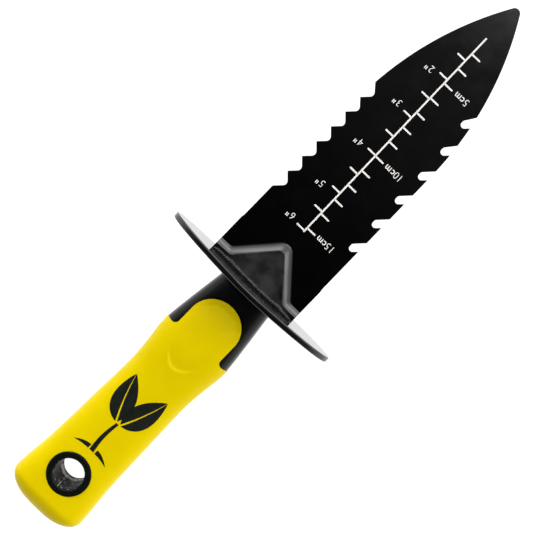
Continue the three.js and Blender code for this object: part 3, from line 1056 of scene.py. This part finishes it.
def leaf_strip(side, half):
    """Rows of points across one half of one leaf of the sprout."""
    rows = []
    steps = 28
    start_x, start_y = MARK_CENTRE_X + LEAF_START[0], side * LEAF_START[1]
    turn = side * LEAF_TURN
    for step in range(steps + 1):
        share = step / steps
        width = LEAF_HALF * math.sin(math.pi * share ** 0.8) ** 0.85  # widest before the middle
        vein = LEAF_VEIN * (1 - 0.8 * share)
        row = []
        for part in range(5):
            reach = vein + max(0.02, width - vein) * part / 4
            along, aside = LEAF_LENGTH * share, half * reach - side * LEAF_BEND * share * share
            row.append((start_x + along * math.cos(turn) - aside * math.sin(turn),
                        start_y + along * math.sin(turn) + aside * math.cos(turn)))
        rows.append(row)
    return rows


def stem_strip():
    """Rows of points across the sprout's stem, from its foot."""
    rows = []
    steps = 24
    for step in range(steps + 1):
        share = step / steps
        x = MARK_CENTRE_X - STEM_GAP - STEM_LENGTH * (1 - share)
        y = STEM_BOW * math.sin(math.pi * share)
        width = STEM_HALF * (1.25 - 0.5 * share)
        rows.append([(x, y + width * (part / 2 - 1)) for part in range(5)])
    return rows


def soil_strip(side):
    """A short curved stroke beside the foot of the stem."""
    rows = []
    steps = 14
    for step in range(steps + 1):
        share = step / steps
        y = side * (SOIL_START + SOIL_LENGTH * share)
        x = MARK_CENTRE_X - STEM_LENGTH - SOIL_GAP - SOIL_DROP * share * share
        width = SOIL_HALF * math.cos(math.pi / 2 * share * 0.95)
        rows.append([(x + width * (part / 2 - 1), y) for part in range(5)])
    return rows


def make_mark(material):
    """A sprout printed on the cover, in strips that follow its surface."""
    sheet = Sheet()
    strips = [leaf_strip(side, half) for side in (-1, 1) for half in (-1, 1)]
    strips += [stem_strip(), soil_strip(-1), soil_strip(1)]
    for rows in strips:
        wide = len(rows[0])
        plan = [(x, y + handle_centre(x)) for row in rows for x, y in row]
        points = [(x, y, handle_top(x, y) + MARK_LIFT) for x, y in plan]
        faces = []
        for row in range(len(rows) - 1):
            for part in range(wide - 1):
                first = row * wide + part
                faces.append((first, first + 1, first + wide + 1, first + wide))
        sheet.add(points, faces)
    place("sprout_mark", sheet.mesh("sprout_mark"), material)


# ---- room ----
CAMERA_AIM = (12.72, 0.23, 0.0)
CAMERA_DISTANCE = 760.0
CAMERA_TILT = math.radians(4)
CAMERA_ROLL = math.radians(45.85)
FIELD_WIDTH = 272.0  # width of the view at the aim point
SENSOR = 36.0
FLOOR_HALF = 6.0  # in metres, like the lamps below
LAMPS = (  # name, direction from the object, distance, width, height, radiance
    ("key", (0.67, 0.74, 0.3), 1.6, 1.6, 0.9, 0.9),
    ("fill", (0.67, -0.74, 0.3), 1.6, 1.6, 0.9, 1.3),
    ("tip", (1.0, 0.0, 0.27), 1.7, 1.2, 0.8, 2.0),
    ("overhead", (0.36, 0.0, 0.93), 1.6, 0.5, 0.5, 4.3),
)


def make_camera():
    """Looks down on the printed face, with the tool lying diagonally across the picture."""
    axes = TOOL.to_3x3().normalized()
    back = Vector((math.tan(CAMERA_TILT), 0, 1)).normalized()
    ahead = (Vector((1, 0, 0)) - back * back.x).normalized()
    side = back.cross(ahead)
    right = ahead * math.cos(CAMERA_ROLL) - side * math.sin(CAMERA_ROLL)
    up = ahead * math.sin(CAMERA_ROLL) + side * math.cos(CAMERA_ROLL)
    rotation = Matrix([axes @ v for v in (right, up, back)]).transposed().to_4x4()
    spot = TOOL @ (Vector(CAMERA_AIM) + back * CAMERA_DISTANCE)
    data = bpy.data.cameras.new("camera")
    data.sensor_width = SENSOR
    data.lens = SENSOR * CAMERA_DISTANCE / FIELD_WIDTH
    data.clip_start = 0.01
    data.clip_end = 100
    camera = bpy.data.objects.new("camera", data)
    camera.matrix_world = Matrix.Translation(spot) @ rotation
    bpy.context.scene.collection.objects.link(camera)
    bpy.context.scene.camera = camera


def make_floor(material):
    half = FLOOR_HALF
    mesh = bpy.data.meshes.new("floor")
    mesh.from_pydata([(-half, -half, 0), (half, -half, 0), (half, half, 0), (-half, half, 0)],
                     [], [(0, 1, 2, 3)])
    mesh.materials.append(material)
    floor = bpy.data.objects.new("floor", mesh)
    bpy.context.scene.collection.objects.link(floor)


def make_world():
    """Dark straight above, bright towards the horizon and on the side beyond the tip."""
    world = bpy.data.worlds.new("studio")
    world.use_nodes = True
    bpy.context.scene.world = world
    nodes, links = world.node_tree.nodes, world.node_tree.links
    direction = nodes.new("ShaderNodeTexCoord").outputs["Generated"]
    split = nodes.new("ShaderNodeSeparateXYZ")
    links.new(direction, split.inputs["Vector"])

    def band(source, start, end, low, high):
        """Low where the source is before start, high where it is past end, smooth between."""
        node = nodes.new("ShaderNodeMapRange")
        node.interpolation_type = "SMOOTHSTEP"
        limits = {"From Min": start, "From Max": end, "To Min": low, "To Max": high}
        for name, value in limits.items():
            node.inputs[name].default_value = value
        links.new(source, node.inputs["Value"])
        return node.outputs["Result"]

    def join(operation, first, second):
        return maths(world.node_tree, operation, first, second)

    # x, y and z are the direction looked in, in the CAD frame: the tip points to +X.
    x, y, z = (split.outputs[axis] for axis in "XYZ")
    beyond_tip = join("ADD", band(x, -0.16, 0.04, 0.003, 0.11), band(x, 0.035, 0.09, 0.0, 0.9))
    beyond_tip = join("ADD", beyond_tip, band(x, 0.12, 0.6, 0.0, 0.9))
    lit_side = join("MULTIPLY", band(y, 0.2, 0.8, 0.0, 1.3), band(x, 0.15, 0.45, 0.0, 1.0))
    beyond_tip = join("ADD", beyond_tip, lit_side)
    behind_butt = band(x, -0.35, -0.7, 0.0, 0.35)
    to_sides = band(join("ABSOLUTE", y, 0.0), 0.7, 0.95, 0.0, 0.25)
    low_down = band(z, 0.4, 0.05, 0.0, 0.7)
    total = join("MAXIMUM", join("MAXIMUM", beyond_tip, behind_butt), to_sides)
    total = join("ADD", total, low_down)
    background = nodes["Background"]
    background.inputs["Color"].default_value = (1, 1, 1, 1)
    links.new(total, background.inputs["Strength"])


def make_softbox(name, direction, distance, width, height, radiance):
    """An area light that faces the object from a direction in the CAD frame."""
    data = bpy.data.lights.new(name, "AREA")
    data.shape = "RECTANGLE"
    data.size, data.size_y = width, height
    data.energy = radiance * math.pi * width * height
    towards = Vector(direction).normalized()
    lamp = bpy.data.objects.new(name, data)
    facing = towards.to_track_quat("Z", "Y").to_matrix().to_4x4()
    lamp.matrix_world = Matrix.Translation(towards * distance) @ facing
    bpy.context.scene.collection.objects.link(lamp)


# ---- the object and its room ----
make_camera()
make_blade(blade_coating())
make_guard(guard_coating())
make_welds(weld_coating())
make_handle(collar_rubber(), cover_rubber())
make_eyelet(eyelet_plastic())
ink = scale_ink()
make_scale_lines(ink)
make_scale_figures(ink)
make_mark(mark_ink())
make_floor(floor_paper())
make_world()
for lamp in LAMPS:
    make_softbox(*lamp)
bpy.context.scene.view_settings.view_transform = "Standard"
